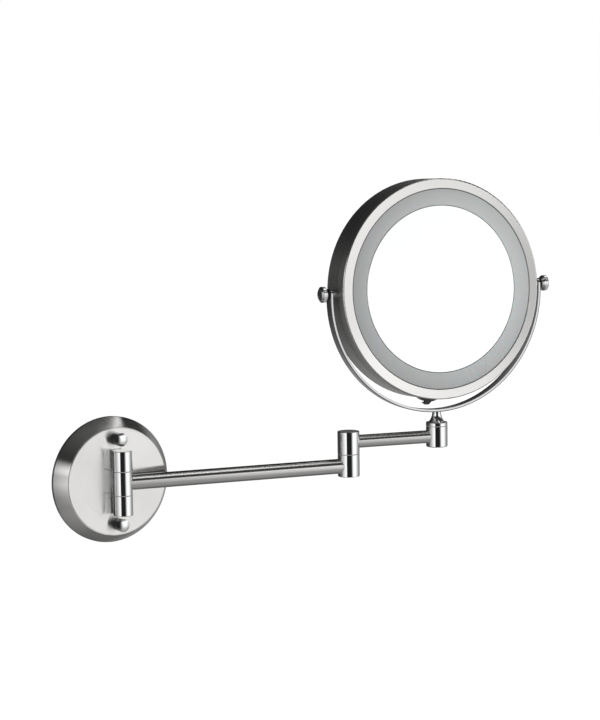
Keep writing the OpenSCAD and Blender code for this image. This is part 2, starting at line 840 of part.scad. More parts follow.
module batteries() {
    color("steelblue") on_head() each_cell() translate([0, 1.6, cell_z]) rotate([90, 0, 0]) {
        translate([0, 0, -cell_l / 2 + 1]) cylinder(d = cell_d, h = cell_l - 1);
        translate([0, 0, -cell_l / 2]) cylinder(d = 3.8, h = 2);
    }
}

// Conical springs that lean on the batteries' flat ends
module battery_springs() {
    wire_r = 0.35;
    turns = 3.5;
    steps = 12;
    end_y = 1.6 - cell_l / 2;
    color("silver") on_head() each_cell() translate([0, end_y - wire_r - seat, cell_z]) rotate([90, 0, 0])
        swept([for (i = [0:turns * steps]) let (a = i * 360 / steps, r = 2 + 1.6 * i / (turns * steps))
            [r * cos(a), r * sin(a), (spring_l - 2 * wire_r) * i / (turns * steps)]], wire_r, sides = 5);
}

module battery_contacts() {
    color("silver") on_head() each_cell() for (s = [-1, 1])
        translate([-4, s * (holder_l / 2 - holder_wall - contact_t) - contact_t / 2, cell_z - 3.6])
            cube([8, contact_t, 7.2]);
}

// Two wires from the holder to the switch, and two through the dividing disc to the light board
module led_wires() {
    r = wire_d / 2;
    low = cell_z + 2;
    from_y = -holder_l / 2 - 0.1;
    to_y = -head_r + shell_wall + 8.4;
    side_x = holder_w / 2 + 0.1;
    color("firebrick") on_head() {
        for (s = [-1, 1]) translate([s * 3, 0, 0])
            swept([[0, from_y, low], [0, from_y - 10, low], [0, from_y - 16, low - 0.6],
                   [switch_x, to_y + 16, switch_z + 0.6], [switch_x, to_y + 10, switch_z],
                   [switch_x, to_y, switch_z]],
                  r, [1, 0, 0]);
        each_wire()
            swept([[side_x, 0, low], [wire_x - 2, 0, low], [wire_x - 0.6, 0, low + 0.6], [wire_x, 0, low + 2],
                   [wire_x, 0, wire_z - 2], [wire_x + 0.6, 0, wire_z - 0.6], [wire_x + 2, 0, wire_z],
                   [channel_in + channel_t + 0.2, 0, wire_z]], r, [0, 1, 0]);
    }
}

module switch_body() {
    depth = 6;
    front = -head_r + shell_wall + 2.2;
    color("black") on_head() translate([switch_x, 0, 0]) difference() {
        translate([-switch_l / 2 + 1.6, front, switch_z - switch_w / 2 + 0.2])
            cube([switch_l - 3.2, depth, switch_w - 0.4]);
        translate([-slot_l / 2, front - 1, switch_z - 1.1]) cube([slot_l, 3.5, 2.2]);
    }
}

// Black surround that follows the round side of the head, crowned, with the slot for the lever
module switch_surround() {
    half = switch_w / 2;
    low = switch_z - half;
    color("black") on_head() difference() {
        union() {
            intersection() {
                ring(head_r + seat, head_r + surround_t, low - 1, low + switch_w + 1);
                translate([switch_x, surround_crown - head_r - surround_t, 0])
                    hole(surround_crown, low - 1, low + switch_w + 1);
            }
            intersection() {
                ring(head_r - surround_depth, head_r + 0.5, low + 0.15, low + switch_w - 0.15);
                translate([switch_x - switch_l / 2 + 1.2, -head_r - 5, low])
                    cube([switch_l - 2.4, 10, switch_w]);
            }
        }
        translate([switch_x - slot_l / 2, -head_r - 10, switch_z - stalk_t / 2 - 0.3])
            cube([slot_l, 20, stalk_t + 0.6]);
    }
}

// Tapered lever over the surround, on a stalk that reaches into the switch
module switch_lever() {
    root = -head_r - surround_t - 0.2;
    tip = -head_r - lever_rise;
    color("black") on_head() translate([lever_rest, 0, switch_z]) {
        translate([0, 0, -lever_t / 2]) linear_extrude(lever_t) softened([
            [-lever_w / 2, root], [-lever_tip / 2, tip], [lever_tip / 2, tip], [lever_w / 2, root]
        ], [0, 0.6, 0.6, 0]);
        translate([-stalk_w / 2, root - 0.5, -stalk_t / 2]) cube([stalk_w, surround_t + 1.2, stalk_t]);
        translate([-1, -head_r + 0.3, -0.8]) cube([2, 4.4, 1.6]);
    }
}

// ---- Head: twist-off back ----
module rear_bezel() {
    color("gainsboro") on_head() mirror([0, 0, 1]) rotate_extrude()
        bezel_section(rear_inner, 0.2 - rear_seam, head_back - rear_rise, head_back);
}

// Flat behind, hollowed in front to a shallow sphere
module magnifying_mirror() {
    steps = 24;
    centre = rear_glass_edge + rear_glass_sag - sphere_r;
    color("white") on_head() rotate_extrude() polygon(concat(
        [[0, rear_glass_inside], [rear_glass_r, rear_glass_inside]],
        [for (i = [steps:-1:0]) let (r = i * rear_glass_r / steps)
            [r, centre + sqrt(sphere_r * sphere_r - r * r)]]
    ));
}

// Plastic disc behind the magnifying mirror; its lugs turn in front of the ledges inside the head
module rear_carrier() {
    skirt_out = ledge_in - 0.4;
    lug_z = ledge_z + ledge_t + 0.3;
    rim_in = rear_glass_r + 0.1;
    neck_top = rear_plate + rear_plate_t;
    color("white") on_head() {
        hole(frame_in - 0.3, rear_plate, neck_top);
        ring(rim_in, frame_in - 0.3, rear_seam - 0.4, rear_plate + 0.1);
        ring(rim_in, inner_r - 0.1, rear_face + rear_rise + shell_wall + seat, rear_seam - 0.3);
        each_lug() intersection() {
            union() {
                ring(skirt_out - 1.6, skirt_out, rear_plate, lug_z + lug_t);
                ring(skirt_out - 0.5, frame_in - 0.5, lug_z, lug_z + lug_t);
            }
            wedge(lug_angle, rear_plate, lug_z + lug_t);
        }
    }
}

wall_bracket();
bracket_studs();
wall_cover();
cap_nuts();
hinge_knuckle_top();
hinge_knuckle_bottom();
knuckle_screws();
wall_hinge_bolt();
wall_hinge_washers();
arm_knuckle();
long_arm_tube();
elbow_lower_knuckle();
elbow_bolt();
elbow_washer();
elbow_upper_knuckle();
short_arm_tube();
wrist_socket();
wrist_washer();
swivel_post();
wrist_retainer();
yoke_strap();
strap_screw();
pivot_washers();
pivot_spacers();
pivot_inserts();
thumb_screw_left();
thumb_screw_right();
head_band();
head_frame();
front_bezel();
light_ring();
front_mirror();
mirror_pad();
mirror_carrier();
carrier_screws();
led_board();
led_chips();
battery_holder();
batteries();
battery_springs();
battery_contacts();
led_wires();
switch_body();
switch_surround();
switch_lever();
rear_bezel();
magnifying_mirror();
rear_carrier();
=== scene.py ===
"""Finishes, small seams and studio for a lit round mirror on a folding wall arm."""

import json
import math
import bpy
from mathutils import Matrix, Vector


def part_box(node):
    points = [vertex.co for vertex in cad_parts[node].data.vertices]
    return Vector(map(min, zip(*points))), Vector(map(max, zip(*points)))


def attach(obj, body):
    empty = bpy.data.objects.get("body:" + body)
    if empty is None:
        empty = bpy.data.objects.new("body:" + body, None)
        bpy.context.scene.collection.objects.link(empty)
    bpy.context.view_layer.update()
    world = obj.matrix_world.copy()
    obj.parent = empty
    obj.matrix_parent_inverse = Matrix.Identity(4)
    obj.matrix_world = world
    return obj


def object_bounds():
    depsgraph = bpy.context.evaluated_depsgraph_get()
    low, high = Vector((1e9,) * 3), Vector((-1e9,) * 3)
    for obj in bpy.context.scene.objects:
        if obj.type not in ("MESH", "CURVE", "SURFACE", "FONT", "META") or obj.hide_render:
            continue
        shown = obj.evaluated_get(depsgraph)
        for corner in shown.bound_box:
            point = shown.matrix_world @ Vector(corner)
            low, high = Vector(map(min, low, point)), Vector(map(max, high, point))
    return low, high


bl_info = {
    "name": "Folding Arm Mirror",
    "version": (1, 0, 0),
    "blender": (4, 5, 0),
    "location": "View3D > Sidebar > Arm Mirror",
    "description": "Dresses the mirror in its metals, glass and plastics and sets up the studio",
    "category": "Object",
}

import bpy
from bpy.props import FloatProperty, FloatVectorProperty, IntProperty, PointerProperty
from mathutils import Matrix, Vector

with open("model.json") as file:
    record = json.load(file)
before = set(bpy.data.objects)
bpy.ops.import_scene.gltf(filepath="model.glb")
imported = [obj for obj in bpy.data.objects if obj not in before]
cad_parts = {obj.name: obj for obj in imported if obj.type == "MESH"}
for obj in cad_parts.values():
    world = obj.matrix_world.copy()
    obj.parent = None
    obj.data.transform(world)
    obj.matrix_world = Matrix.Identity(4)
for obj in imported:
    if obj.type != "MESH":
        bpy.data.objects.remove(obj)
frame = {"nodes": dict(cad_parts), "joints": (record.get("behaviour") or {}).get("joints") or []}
CAD_BOX = [list(corner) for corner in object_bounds()]

# Joints give the axes that the metal was turned and brushed around
JOINTS = {joint["name"]: joint for joint in frame["joints"]}
HINGE = Vector(JOINTS["arm_swing"]["pos_m"])
ELBOW = Vector(JOINTS["elbow_swing"]["pos_m"])
WRIST = Vector(JOINTS["yoke_swivel"]["pos_m"])
HEAD = Vector(JOINTS["mirror_tilt"]["pos_m"])
TILT = Vector(JOINTS["mirror_tilt"]["axis"])
FACING = Vector(JOINTS["rear_cover_twist"]["axis"])
ROOM = Vector((0, -1, 0))
UP = Vector((0, 0, 1))
LONG_ARM = (ELBOW - HINGE).normalized()
SHORT_ARM = Vector((WRIST.x - ELBOW.x, WRIST.y - ELBOW.y, 0)).normalized()
MM = 0.001

# Sizes of the CAD pieces that a box doesn't give
COVER_BEVEL = 7.9 * MM
BEZEL_ROUND, BEZEL_FACE = 1 * MM, 8 * MM
LIGHT_OPENING = 81.8 * MM
STRAP_DROP = 3.6 * MM


def linear(hex_colour):
    """sRGB hex to the linear colour that shaders take."""
    channels = [int(hex_colour[i : i + 2], 16) / 255 for i in (1, 3, 5)]
    return tuple(c / 12.92 if c <= 0.04045 else ((c + 0.055) / 1.055) ** 2.4 for c in channels)


def add(tree, kind, inputs=None, stops=None, **settings):
    """Adds a node with its settings; each input is a constant or another node's output."""
    node = tree.nodes.new("ShaderNode" + kind)
    for name, value in settings.items():
        setattr(node, name, value)
    if stops:
        ramp = node.color_ramp.elements
        while len(ramp) < len(stops):
            ramp.new(0.5)
        for element, (position, grey) in zip(ramp, stops):
            element.position = position
            element.color = (grey, grey, grey, 1)
    for name, value in (inputs or {}).items():
        if isinstance(value, bpy.types.NodeSocket):
            tree.links.new(value, node.inputs[name])
        else:
            node.inputs[name].default_value = value
    return node


def material(name, colour, **values):
    """A material with one shader; values are the shader's own constants."""
    made = bpy.data.materials.new(name)
    made.use_nodes = True
    tree = made.node_tree
    tree.nodes.clear()
    shader = add(tree, "BsdfPrincipled", {"Base Color": (*colour, 1), **values})
    add(tree, "OutputMaterial", {"Surface": shader.outputs[0]})
    made.diffuse_color = (*colour, 1)
    return made, tree, shader


def place(tree):
    """Where a point is on the resting object, in metres; it rides with the piece."""
    return add(tree, "TexCoord").outputs["Object"]


def around(tree, centre, axis, paired=False):
    """For a turned piece: the place measured from its axis, and the way the tool ran.
    Paired pieces lie the same distance above and below the middle."""
    where = place(tree)
    if paired:
        side = add(tree, "SeparateXYZ", {0: where}).outputs
        above = add(tree, "Math", {0: side[2]}, operation="ABSOLUTE").outputs[0]
        where = add(tree, "CombineXYZ", {0: side[0], 1: side[1], 2: above}).outputs[0]
    offset = add(tree, "VectorMath", {0: where, 1: centre}, operation="SUBTRACT").outputs[0]
    height = add(tree, "VectorMath", {0: offset, 1: axis}, operation="DOT_PRODUCT").outputs["Value"]
    rise = add(tree, "VectorMath", {0: axis, "Scale": height}, operation="SCALE").outputs[0]
    radial = add(tree, "VectorMath", {0: offset, 1: rise}, operation="SUBTRACT").outputs[0]
    radius = add(tree, "VectorMath", {0: radial}, operation="LENGTH").outputs["Value"]
    way = add(tree, "VectorMath", {0: axis, 1: radial}, operation="CROSS_PRODUCT").outputs[0]
    way = add(tree, "VectorMath", {0: way}, operation="NORMALIZE").outputs[0]
    return radius, height, way


def to_world(tree, way):
    """Turns a direction with the body that the piece rides on."""
    return add(tree, "VectorTransform", {"Vector": way}, vector_type="VECTOR",
               convert_from="OBJECT", convert_to="WORLD").outputs[0]


def turned_lines(tree, centre, axis, spacing, drift=2.0, paired=False):
    """Fine rings cut around an axis, from 0 to 1, and the direction that they run in."""
    radius, height, way = around(tree, centre, axis, paired)
    across = add(tree, "Math", {0: radius, 1: 1 / spacing}, operation="MULTIPLY").outputs[0]
    along = add(tree, "Math", {0: height, 1: 1 / spacing}, operation="MULTIPLY").outputs[0]
    slow = add(tree, "VectorMath", {0: way, "Scale": drift}, operation="SCALE").outputs[0]
    outwards = add(tree, "CombineXYZ", {0: across, 1: across, 2: across}).outputs[0]
    mixed = add(tree, "VectorMath", {0: slow, 1: outwards}, operation="ADD").outputs[0]
    lines = add(tree, "TexNoise", {"Vector": mixed, "W": along, "Scale": 1.0, "Detail": 3.0,
                "Roughness": 0.6}, noise_dimensions="4D").outputs["Fac"]
    return lines, way, radius


def drawn_lines(tree, axis, spacing, length):
    """Fine lines along an axis, as a belt leaves them, from 0 to 1."""
    where = place(tree)
    along = add(tree, "VectorMath", {0: where, 1: axis}, operation="DOT_PRODUCT").outputs["Value"]
    squeeze = add(tree, "Math", {0: along, 1: 1 / length - 1 / spacing},
                  operation="MULTIPLY").outputs[0]
    shift = add(tree, "VectorMath", {0: axis, "Scale": squeeze}, operation="SCALE").outputs[0]
    fine = add(tree, "VectorMath", {0: where, "Scale": 1 / spacing}, operation="SCALE").outputs[0]
    mixed = add(tree, "VectorMath", {0: fine, 1: shift}, operation="ADD").outputs[0]
    return add(tree, "TexNoise", {"Vector": mixed, "Scale": 1.0, "Detail": 3.0,
               "Roughness": 0.6}).outputs["Fac"]


def spread(tree, fac, low, high, start=0.25, end=0.75):
    """Stretches a pattern to run from low to high."""
    return add(tree, "MapRange", {"Value": fac, "From Min": start, "From Max": end,
               "To Min": low, "To Max": high}).outputs[0]


def tint(tree, colour, fac, dark):
    """The finish's colour, darkened by the pattern."""
    level = spread(tree, fac, dark, 1.0)
    return add(tree, "VectorMath", {0: colour, "Scale": level}, operation="SCALE").outputs[0]


def relief(tree, fac, depth):
    """Surface relief of a real depth in metres."""
    return add(tree, "Bump", {"Height": fac, "Distance": depth, "Strength": 1.0}).outputs[0]


def brushed_round(name, colour, centre, axis, spacing, rough=0.3, groove=0.000006, strength=0.85,
                  slope=()):
    """Nickel plate brushed in rings: light gathers in fans across the rings.
    Each slope is two radii and the rise for each unit of radius at the two, which bends what the
    surface reflects; the mesh keeps its own shape."""
    made, tree, shader = material(name, colour, Metallic=1.0, Anisotropic=strength,
                                  **{"Anisotropic Rotation": 0.25})
    lines, way, radius = turned_lines(tree, centre, axis, spacing)
    tree.links.new(tint(tree, colour, lines, 0.94), shader.inputs["Base Color"])
    tree.links.new(spread(tree, lines, rough * 0.85, rough * 1.15), shader.inputs["Roughness"])
    high = add(tree, "Math", {0: lines, 1: groove}, operation="MULTIPLY").outputs[0]
    for start, end, near, far in slope:
        # The rise from one radius to the other, with a slope that changes evenly on the way
        along = add(tree, "Math", {0: radius, 1: start}, operation="SUBTRACT").outputs[0]
        along = add(tree, "Math", {0: along, 1: 0.0}, operation="MAXIMUM").outputs[0]
        along = add(tree, "Math", {0: along, 1: end - start}, operation="MINIMUM").outputs[0]
        bend = add(tree, "Math", {0: along, 1: (far - near) / (2 * (end - start))},
                   operation="MULTIPLY").outputs[0]
        bend = add(tree, "Math", {0: bend, 1: near}, operation="ADD").outputs[0]
        rise = add(tree, "Math", {0: along, 1: bend}, operation="MULTIPLY").outputs[0]
        high = add(tree, "Math", {0: high, 1: rise}, operation="ADD").outputs[0]
    tree.links.new(relief(tree, high, 1.0), shader.inputs["Normal"])
    tree.links.new(to_world(tree, way), shader.inputs["Tangent"])
    return made, tree, shader, radius


def brushed_along(name, colour, axis, spacing, rough=0.15, groove=0.0000006):
    """Nickel plate polished lengthwise on a tube: long, clean bands of light with fine streaks."""
    made, tree, shader = material(name, colour, Metallic=1.0, Anisotropic=0.9)
    lines = drawn_lines(tree, axis, spacing, 0.06)
    tree.links.new(tint(tree, colour, lines, 0.9), shader.inputs["Base Color"])
    tree.links.new(spread(tree, lines, rough * 0.8, rough * 1.25), shader.inputs["Roughness"])
    tree.links.new(relief(tree, lines, groove), shader.inputs["Normal"])
    tree.links.new(to_world(tree, add(tree, "CombineXYZ", dict(enumerate(axis))).outputs[0]),
                   shader.inputs["Tangent"])
    return made


def turned_chrome(name, colour, centre, axis, rough=0.07, fan=0.35, paired=False, rim=None):
    """Chrome over turned brass: nearly a mirror, with faint tool rings that fan light on the ends.
    A rim is an outer edge's radius; the dark line beside it is painted shade that stands in for its
    rounding."""
    made, tree, shader = material(name, colour, Metallic=1.0, Anisotropic=fan,
                                  **{"Anisotropic Rotation": 0.25})
    lines, way, radius = turned_lines(tree, centre, axis, 0.5 * MM, paired=paired)
    smudge = add(tree, "TexNoise", {"Vector": place(tree), "Scale": 90.0,
                 "Detail": 2.0}).outputs["Fac"]
    rings = spread(tree, lines, rough * 0.75, rough * 1.2)
    haze = spread(tree, smudge, 0.0, rough * 0.35)
    tree.links.new(add(tree, "Math", {0: rings, 1: haze}, operation="ADD").outputs[0],
                   shader.inputs["Roughness"])
    shade = tint(tree, colour, lines, 0.95)
    if rim:
        # Painted shade: a dark line just inside the rim, only on the sides that face along the axis
        normal = add(tree, "TexCoord").outputs["Normal"]
        facing = add(tree, "VectorMath", {0: normal, 1: axis},
                     operation="DOT_PRODUCT").outputs["Value"]
        facing = add(tree, "Math", {0: facing}, operation="ABSOLUTE").outputs[0]
        edge = add(tree, "MapRange", {"Value": radius, "From Min": rim - 0.85 * MM,
                   "From Max": rim - 0.6 * MM, "To Min": 0.0, "To Max": 0.85}).outputs[0]
        edge = add(tree, "Math", {0: edge, 1: facing}, operation="MULTIPLY").outputs[0]
        edge = add(tree, "Math", {0: 1.0, 1: edge}, operation="SUBTRACT").outputs[0]
        shade = add(tree, "VectorMath", {0: shade, "Scale": edge}, operation="SCALE").outputs[0]
    tree.links.new(shade, shader.inputs["Base Color"])
    tree.links.new(relief(tree, lines, 0.000001), shader.inputs["Normal"])
    tree.links.new(to_world(tree, way), shader.inputs["Tangent"])
    return made


def plated(name, colour, rough, grain):
    """Plated steel or bare brass: soft gloss, mottled by the plating's grain."""
    made, tree, shader = material(name, colour, Metallic=1.0)
    mottle = add(tree, "TexNoise", {"Vector": place(tree), "Scale": 1 / grain,
                 "Detail": 4.0}).outputs["Fac"]
    tree.links.new(tint(tree, colour, mottle, 0.8), shader.inputs["Base Color"])
    tree.links.new(spread(tree, mottle, rough * 0.8, rough * 1.3), shader.inputs["Roughness"])
    tree.links.new(relief(tree, mottle, 0.00001), shader.inputs["Normal"])
    return made


def moulded(name, colour, rough, grain, depth, ior=1.5, **values):
    """Moulded plastic: an even colour under a fine spark-eroded grain."""
    made, tree, shader = material(name, colour, IOR=ior, **values)
    pits = add(tree, "TexVoronoi", {"Vector": place(tree), "Scale": 1 / grain}).outputs["Distance"]
    cloud = add(tree, "TexNoise", {"Vector": place(tree), "Scale": 60.0,
                "Detail": 3.0}).outputs["Fac"]
    tree.links.new(tint(tree, colour, cloud, 0.94), shader.inputs["Base Color"])
    tree.links.new(spread(tree, cloud, rough * 0.9, rough * 1.1), shader.inputs["Roughness"])
    tree.links.new(relief(tree, pits, depth), shader.inputs["Normal"])
    return made


def dress(finish, *nodes):
    """Gives a finish to CAD nodes."""
    for name in nodes:
        for slot in frame["nodes"][name].material_slots:
            slot.material = finish


# ---- Settings that a user would change ----
class MetalSettings(bpy.types.PropertyGroup):
    nickel: FloatVectorProperty(
        name="Brushed nickel", description="Colour of the brushed plate", subtype="COLOR",
        default=linear("#e6e5e3"), min=0, max=1)
    chrome: FloatVectorProperty(
        name="Chrome", description="Colour of the polished plate", subtype="COLOR",
        default=linear("#eeefef"), min=0, max=1)
    zinc: FloatVectorProperty(
        name="Zinc", description="Colour of the plated screws and bracket", subtype="COLOR",
        default=linear("#b9babb"), min=0, max=1)
    brass: FloatVectorProperty(
        name="Brass", description="Colour of the threaded bosses", subtype="COLOR",
        default=linear("#d8b46a"), min=0, max=1)
    brush_spacing: FloatProperty(
        name="Brush spacing",
        description="Distance between brush marks, as coarse as they can show",
        default=0.9 * MM, min=0.1 * MM, max=3 * MM, unit="LENGTH", precision=5)


class GlassSettings(bpy.types.PropertyGroup):
    silver: FloatVectorProperty(
        name="Silvering", description="Colour of the silvered glass", subtype="COLOR",
        default=linear("#f7f9f8"), min=0, max=1)
    frosted: FloatVectorProperty(
        name="Frosted ring", description="Colour of the unlit light ring", subtype="COLOR",
        default=linear("#c6c8c8"), min=0, max=1)
    edge_band: FloatProperty(
        name="Glass edge", description="Width of the grey line around the silvering",
        default=0.7 * MM, min=0, max=3 * MM, unit="LENGTH", precision=5)


class PlasticSettings(bpy.types.PropertyGroup):
    black: FloatVectorProperty(
        name="Black plastic", description="Colour of the switch", subtype="COLOR",
        default=linear("#1b1b1c"), min=0, max=1)
    white: FloatVectorProperty(
        name="White plastic", description="Colour of the trays behind the mirrors", subtype="COLOR",
        default=linear("#e8e8e4"), min=0, max=1)
    grey: FloatVectorProperty(
        name="Grey plastic", description="Colour of the frame inside the head", subtype="COLOR",
        default=linear("#77787a"), min=0, max=1)


class StudioSettings(bpy.types.PropertyGroup):
    floor: FloatVectorProperty(
        name="Floor", description="Colour of the white acrylic floor", subtype="COLOR",
        default=linear("#ffffff"), min=0, max=1)
    floor_drop: FloatProperty(
        name="Floor drop", description="Distance from the lowest piece to the floor",
        default=0.3, min=0, max=2, unit="LENGTH")
    floor_size: FloatProperty(
        name="Floor size", description="Width of the floor", default=60, min=1, max=200,
        unit="LENGTH")
    lens: FloatProperty(
        name="Lens", description="Focal length on a 36 mm sensor", default=115.45, min=20, max=300,
        unit="CAMERA")
    softboxes: FloatProperty(
        name="Softboxes", description="Brightness of the studio in the metal", default=1.0, min=0,
        max=5,
        subtype="FACTOR")


class SeamSettings(bpy.types.PropertyGroup):
    fillet: FloatProperty(
        name="Braze fillet", description="Radius of the braze where a tube meets its knuckle",
        default=0.22 * MM, min=0.1 * MM, max=1 * MM, unit="LENGTH", precision=5)
    steps: IntProperty(
        name="Steps", description="Points around each seam", default=72, min=24, max=180)


def settings(group):
    return getattr(bpy.context.scene, group)


# ---- Stage ----
class ARM_MIRROR_OT_stage(bpy.types.Operator):
    """Adds the camera, the pale floor and the soft studio"""

    bl_idname = "arm_mirror.stage"
    bl_label = "Studio"

    def execute(self, context):
        studio = settings("arm_mirror_studio")
        scene = context.scene
        lens = bpy.data.cameras.new("studio_camera")
        lens.lens, lens.sensor_width, lens.clip_end = studio.lens, 36, 200
        camera = bpy.data.objects.new("studio_camera", lens)
        right, down, ahead = (Vector(v) for v in (
            (0.8578, -0.51379, -0.01412), (-0.06947, -0.08867, -0.99364),
            (0.50927, 0.85332, -0.11175)))
        turn = Matrix((right, -down, -ahead)).transposed().to_4x4()
        camera.matrix_world = Matrix.Translation((-0.7952, -1.6297, 0.2958)) @ turn
        scene.collection.objects.link(camera)
        scene.camera = camera
        scene.view_settings.view_transform = "Standard"

        low = CAD_BOX[0][2] - studio.floor_drop
        half = studio.floor_size / 2
        mesh = bpy.data.meshes.new("floor")
        mesh.from_pydata([(-half, -half, low), (half, -half, low), (half, half, low),
                          (-half, half, low)],
                         [], [(0, 1, 2, 3)])
        floor = bpy.data.objects.new("floor", mesh)
        scene.collection.objects.link(floor)
        floor.data.materials.append(self.floor_acrylic(studio))
        # The metal reflects the studio around it, and not the floor's edge
        floor.visible_glossy = False
        scene.world = self.studio_light(studio)
        return {"FINISHED"}

    def floor_acrylic(self, studio):
        # White acrylic lit from below, as a light table: even, and free of hard shadows
        made, tree, shader = material("white_acrylic_light_table", studio.floor, Roughness=0.6,
                                      **{"Emission Color": (1, 1, 1, 1), "Emission Strength": 0.9})
        speck = add(tree, "TexNoise", {"Vector": place(tree), "Scale": 40.0}).outputs["Fac"]
        tree.links.new(tint(tree, studio.floor, speck, 0.995), shader.inputs["Base Color"])
        return made

    def studio_light(self, studio):
        """White backdrop to the camera; softboxes with dark gaps between them to the metal."""
        world = bpy.data.worlds.new("studio")
        world.use_nodes = True
        tree = world.node_tree
        tree.nodes.clear()
        outward = add(tree, "TexCoord").outputs["Generated"]
        east, north, up = add(tree, "SeparateXYZ", {0: outward}).outputs
        # Bearing from the camera's side of the object, a full turn from 0 to 1
        bearing = add(tree, "Math", {0: north, 1: east}, operation="ARCTAN2").outputs[0]
        bearing = add(tree, "Math", {0: bearing, 1: math.radians(CAMERA_SIDE + 180)},
                      operation="ADD").outputs[0]
        bearing = add(tree, "Math", {0: bearing, 1: math.tau}, operation="DIVIDE").outputs[0]
        bearing = add(tree, "Math", {0: bearing}, operation="FRACT").outputs[0]
        height = add(tree, "Math", {0: up}, operation="ARCSINE").outputs[0]
        height = add(tree, "MapRange", {"Value": height, "From Min": -math.pi / 2,
                     "From Max": math.pi / 2}).outputs[0]
        sides = add(tree, "ValToRGB", {0: bearing}, stops=[
            ((b + 180) / 360, g) for b, g in BEARING_LIGHT]).outputs[0]
        share = add(tree, "ValToRGB", {0: height}, stops=[
            ((h + 90) / 180, g) for h, g in SIDE_SHARE]).outputs[0]
        level = add(tree, "ValToRGB", {0: height}, stops=[
            ((h + 90) / 180, g) for h, g in HEIGHT_LIGHT]).outputs[0]
        sides = add(tree, "Math", {0: sides, 1: share}, operation="MULTIPLY").outputs[0]
        # The floor behind the object is darker than the floor in front of it
        ahead = add(tree, "VectorMath", {0: outward, 1: AWAY},
                    operation="DOT_PRODUCT").outputs["Value"]
        behind = add(tree, "MapRange", {"Value": ahead, "From Min": 0.0, "From Max": 0.6,
                                        "To Min": 1.0,
                     "To Max": 0.3}).outputs[0]
        level = add(tree, "Math", {0: level, 1: behind}, operation="MULTIPLY").outputs[0]
        # A low softbox far behind the wall, for the backs of the pieces
        low_box = add(tree, "MapRange", {"Value": ahead, "From Min": 0.65, "From Max": 0.8,
                      "To Min": 0.0, "To Max": LOW_BOX_LIGHT}).outputs[0]
        below = add(tree, "MapRange", {"Value": up, "From Min": -0.12,
                                       "From Max": -0.22}).outputs[0]
        low_box = add(tree, "Math", {0: low_box, 1: below}, operation="MULTIPLY").outputs[0]
        level = add(tree, "Math", {0: level, 1: low_box}, operation="ADD").outputs[0]
        # Where the direction meets a ceiling one unit up, across and along the strip light there
        lift = add(tree, "Math", {0: up, 1: 0.02}, operation="MAXIMUM").outputs[0]
        above = add(tree, "VectorMath", {0: add(tree, "CombineXYZ", {0: east, 1: north}).outputs[0],
                    1: add(tree, "CombineXYZ", {0: lift, 1: lift, 2: lift}).outputs[0]},
                    operation="DIVIDE").outputs[0]
        strip = STRIP_LIGHT
        for way, (near, full, full_end, far) in zip(STRIP_WAYS, STRIP):
            at = add(tree, "VectorMath", {0: above, 1: way},
                     operation="DOT_PRODUCT").outputs["Value"]
            rise = add(tree, "MapRange", {"Value": at, "From Min": near, "From Max": full},
                       interpolation_type="SMOOTHSTEP").outputs[0]
            fall = add(tree, "MapRange", {"Value": at, "From Min": far, "From Max": full_end},
                       interpolation_type="SMOOTHSTEP").outputs[0]
            part = add(tree, "Math", {0: rise, 1: fall}, operation="MULTIPLY").outputs[0]
            strip = add(tree, "Math", {0: part, 1: strip}, operation="MULTIPLY").outputs[0]
        mixed = add(tree, "Math", {0: sides, 1: strip}, operation="ADD").outputs[0]
        mixed = add(tree, "Math", {0: mixed, 1: level}, operation="ADD").outputs[0]
        strength = add(tree, "Math", {0: mixed, 1: 2.0 * studio.softboxes},
                       operation="MULTIPLY").outputs[0]
        light = add(tree, "Background", {"Color": (1, 1, 1, 1), "Strength": strength}).outputs[0]
        plain = add(tree, "Background", {"Color": (1, 1, 1, 1), "Strength": 1.0}).outputs[0]
        seen = add(tree, "LightPath").outputs["Is Camera Ray"]
        both = add(tree, "MixShader", {0: seen, 1: light, 2: plain}).outputs[0]
        add(tree, "OutputWorld", {"Surface": both})
        return world


# World azimuth, in degrees, that turns to zero bearing: the side that the camera is on
CAMERA_SIDE = 120.8
# Level direction from the camera to the object
AWAY = (0.51, 0.86, 0)
# Half the brightness of the softboxes and the gaps, by bearing in degrees from the camera's side
BEARING_LIGHT = [(-180, 0.04), (-160, 0.02), (-112, 0.015), (-95, 0.05), (-80, 0.12), (-70, 0.22),
                 (-56, 0.36), (-42, 0.5), (-30, 0.62), (-22, 0.62), (-18, 0.004), (26, 0.004),
                 (32, 0.06),
                 (37, 0.2), (43, 0.46), (48, 0.58), (58, 0.62), (68, 0.64), (80, 0.6), (92, 0.44),
                 (103, 0.28), (115, 0.17), (134, 0.12), (150, 0.12), (165, 0.06), (180, 0.04)]
# How much of the softboxes shows at each height in degrees
SIDE_SHARE = [(-90, 0), (-42, 0.1), (-20, 0.65), (-8, 1), (0, 0.9), (4, 0.85), (10, 1.35),
              (15, 1.2), (26, 0), (90, 0)]
# Half the brightness of the pale floor and of the dark studio above, by height
HEIGHT_LIGHT = [(-90, 0.07), (-70, 0.12), (-45, 0.13), (-25, 0.015), (-15, 0.004), (15, 0.004),
                (45, 0.03),
                (90, 0.06)]
# Strip light overhead, across and along itself for each unit of height: starts, full, full, ends
STRIP = [(0.35, 0.4, 0.48, 0.53), (-0.7, -0.5, 0.8, 1.1)]
STRIP_WAYS = [(0.88, -0.47, 0), (0.47, 0.88, 0)]
# Half the brightness of the strip light and of the low softbox behind
STRIP_LIGHT, LOW_BOX_LIGHT = 0.85, 0.16


